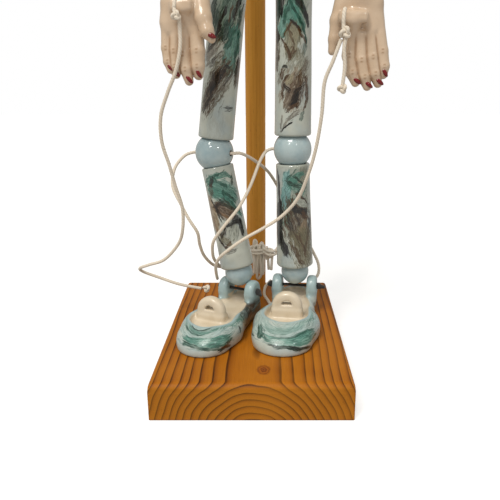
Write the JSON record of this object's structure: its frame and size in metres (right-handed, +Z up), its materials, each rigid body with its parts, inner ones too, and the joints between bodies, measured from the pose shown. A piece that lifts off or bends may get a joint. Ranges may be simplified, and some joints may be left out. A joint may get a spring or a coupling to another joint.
{
  "type": "marionette puppet on a display stand",
  "caption": "Ceramic marionette with ball-strung limbs and slack control cords, hanging on a wooden post and base board.",
  "frame": {"origin": "middle of the base board's underside", "axes": "+Z up, the puppet faces -Y, its right side at -X"},
  "size_m": [0.186, 0.2, 0.5799],
  "materials": {
    "pine": "varnished, satin",
    "dowel": "varnished, satin",
    "screw": "plain",
    "painted_glaze": "glossy glaze with brushed colour",
    "bead_glaze": "glossy glaze",
    "clay_glaze": "clear glaze over cream clay",
    "white_cord": "twisted cotton cord",
    "black_cord": "black cord"
  },
  "bodies": {
    "root": {"base_block": "pine", "post": "dowel", "post_screw": "screw", "support_peg": "dowel", "torso": "painted_glaze", "right_shoulder_bead": "bead_glaze", "left_shoulder_bead": "bead_glaze", "right_hip_bead": "bead_glaze", "left_hip_bead": "bead_glaze", "right_hand_cord": "white_cord", "right_foot_knot": "white_cord", "right_knee_cord_outer": "white_cord", "right_knee_cord_inner": "white_cord", "left_knee_cord": "white_cord", "left_hand_cord": "white_cord", "post_wrap": "white_cord", "cord_hank": "white_cord", "base_cord": "white_cord"},
    "neck": {"neck_bead": "bead_glaze"},
    "head": {"head": "clay_glaze"},
    "right_upper_arm": {"right_upper_arm": "painted_glaze", "right_upper_arm_cord": "white_cord", "right_elbow_bead": "bead_glaze"},
    "right_forearm": {"right_forearm": "painted_glaze", "right_forearm_cord": "white_cord", "right_wrist_bead": "bead_glaze"},
    "right_hand": {"right_hand": "clay_glaze", "right_hand_knot": "white_cord"},
    "right_thigh": {"right_thigh": "painted_glaze", "right_thigh_cord": "white_cord", "right_knee_bead": "bead_glaze"},
    "right_shin": {"right_shin": "painted_glaze", "right_shin_cord": "white_cord", "right_ankle_bead": "bead_glaze"},
    "right_foot": {"right_foot": "painted_glaze", "right_ankle_cord": "black_cord"},
    "left_upper_arm": {"left_upper_arm": "painted_glaze", "left_upper_arm_cord": "white_cord", "left_elbow_bead": "bead_glaze"},
    "left_forearm": {"left_forearm": "painted_glaze", "left_forearm_cord": "white_cord", "left_wrist_bead": "bead_glaze"},
    "left_hand": {"left_hand": "clay_glaze", "left_hand_knot": "white_cord", "left_hand_tail": "white_cord", "left_tail_knot": "white_cord"},
    "left_thigh": {"left_thigh": "painted_glaze", "left_thigh_cord": "white_cord", "left_knee_bead": "bead_glaze"},
    "left_shin": {"left_shin": "painted_glaze", "left_shin_cord": "white_cord", "left_ankle_bead": "bead_glaze"},
    "left_foot": {"left_foot": "painted_glaze", "left_ankle_cord": "black_cord"}
  },
  "joints": [
    {"name": "neck_turn", "type": "hinge", "parent": "root", "child": "neck", "pos_m": [0.008, 0, 0.496], "axis": [0, 0, 1], "range_deg": [-30, 30]},
    {"name": "head_nod", "type": "hinge", "parent": "neck", "child": "head", "pos_m": [0.008, 0, 0.496], "axis": [-1, 0, 0], "range_deg": [-15, 10]},
    {"name": "right_shoulder", "type": "hinge", "parent": "root", "child": "right_upper_arm", "pos_m": [-0.042, 0.004, 0.466], "axis": [-1, 0, 0], "range_deg": [0, 25], "deforming": ["right_hand_cord"]},
    {"name": "right_elbow", "type": "hinge", "parent": "right_upper_arm", "child": "right_forearm", "pos_m": [-0.046, 0.002, 0.38], "axis": [-1, 0, 0], "range_deg": [0, 30]},
    {"name": "right_wrist", "type": "hinge", "parent": "right_forearm", "child": "right_hand", "pos_m": [-0.046, -0.024, 0.297], "axis": [-1, 0, 0], "range_deg": [0, 20]},
    {"name": "right_hip", "type": "hinge", "parent": "root", "child": "right_thigh", "pos_m": [-0.015, 0.024, 0.321], "axis": [-0.9063, 0.4226, 0], "range_deg": [0, 10], "deforming": ["right_knee_cord_outer", "right_knee_cord_inner"]},
    {"name": "right_knee", "type": "hinge", "parent": "right_thigh", "child": "right_shin", "pos_m": [-0.0325, 0.022, 0.1675], "axis": [-0.9063, 0.4226, 0], "range_deg": [-30, 0]},
    {"name": "right_ankle", "type": "hinge", "parent": "right_shin", "child": "right_foot", "pos_m": [-0.0136, 0.0165, 0.051], "axis": [-0.9063, 0.4226, 0], "range_deg": [0, 20]},
    {"name": "left_shoulder", "type": "hinge", "parent": "root", "child": "left_upper_arm", "pos_m": [0.058, 0.004, 0.466], "axis": [-1, 0, 0], "range_deg": [0, 25], "deforming": ["left_hand_cord"]},
    {"name": "left_elbow", "type": "hinge", "parent": "left_upper_arm", "child": "left_forearm", "pos_m": [0.064, 0.002, 0.38], "axis": [-1, 0, 0], "range_deg": [0, 30]},
    {"name": "left_wrist", "type": "hinge", "parent": "left_forearm", "child": "left_hand", "pos_m": [0.073, -0.024, 0.297], "axis": [-1, 0, 0], "range_deg": [0, 20]},
    {"name": "left_hip", "type": "hinge", "parent": "root", "child": "left_thigh", "pos_m": [0.031, 0.026, 0.321], "axis": [-0.9877, 0.1564, 0], "range_deg": [0, 10], "deforming": ["left_knee_cord"]},
    {"name": "left_knee", "type": "hinge", "parent": "left_thigh", "child": "left_shin", "pos_m": [0.0315, 0.026, 0.1695], "axis": [-0.9877, 0.1564, 0], "range_deg": [-30, 0]},
    {"name": "left_ankle", "type": "hinge", "parent": "left_shin", "child": "left_foot", "pos_m": [0.0348, 0.026, 0.051], "axis": [-0.9877, 0.1564, 0], "range_deg": [0, 20]}
  ],
  "couplings": [
    {"joint": "right_knee", "follows": "right_hip", "ratio": -3},
    {"joint": "right_ankle", "follows": "right_hip", "ratio": 2},
    {"joint": "left_knee", "follows": "left_hip", "ratio": -3},
    {"joint": "left_ankle", "follows": "left_hip", "ratio": 2}
  ]
}
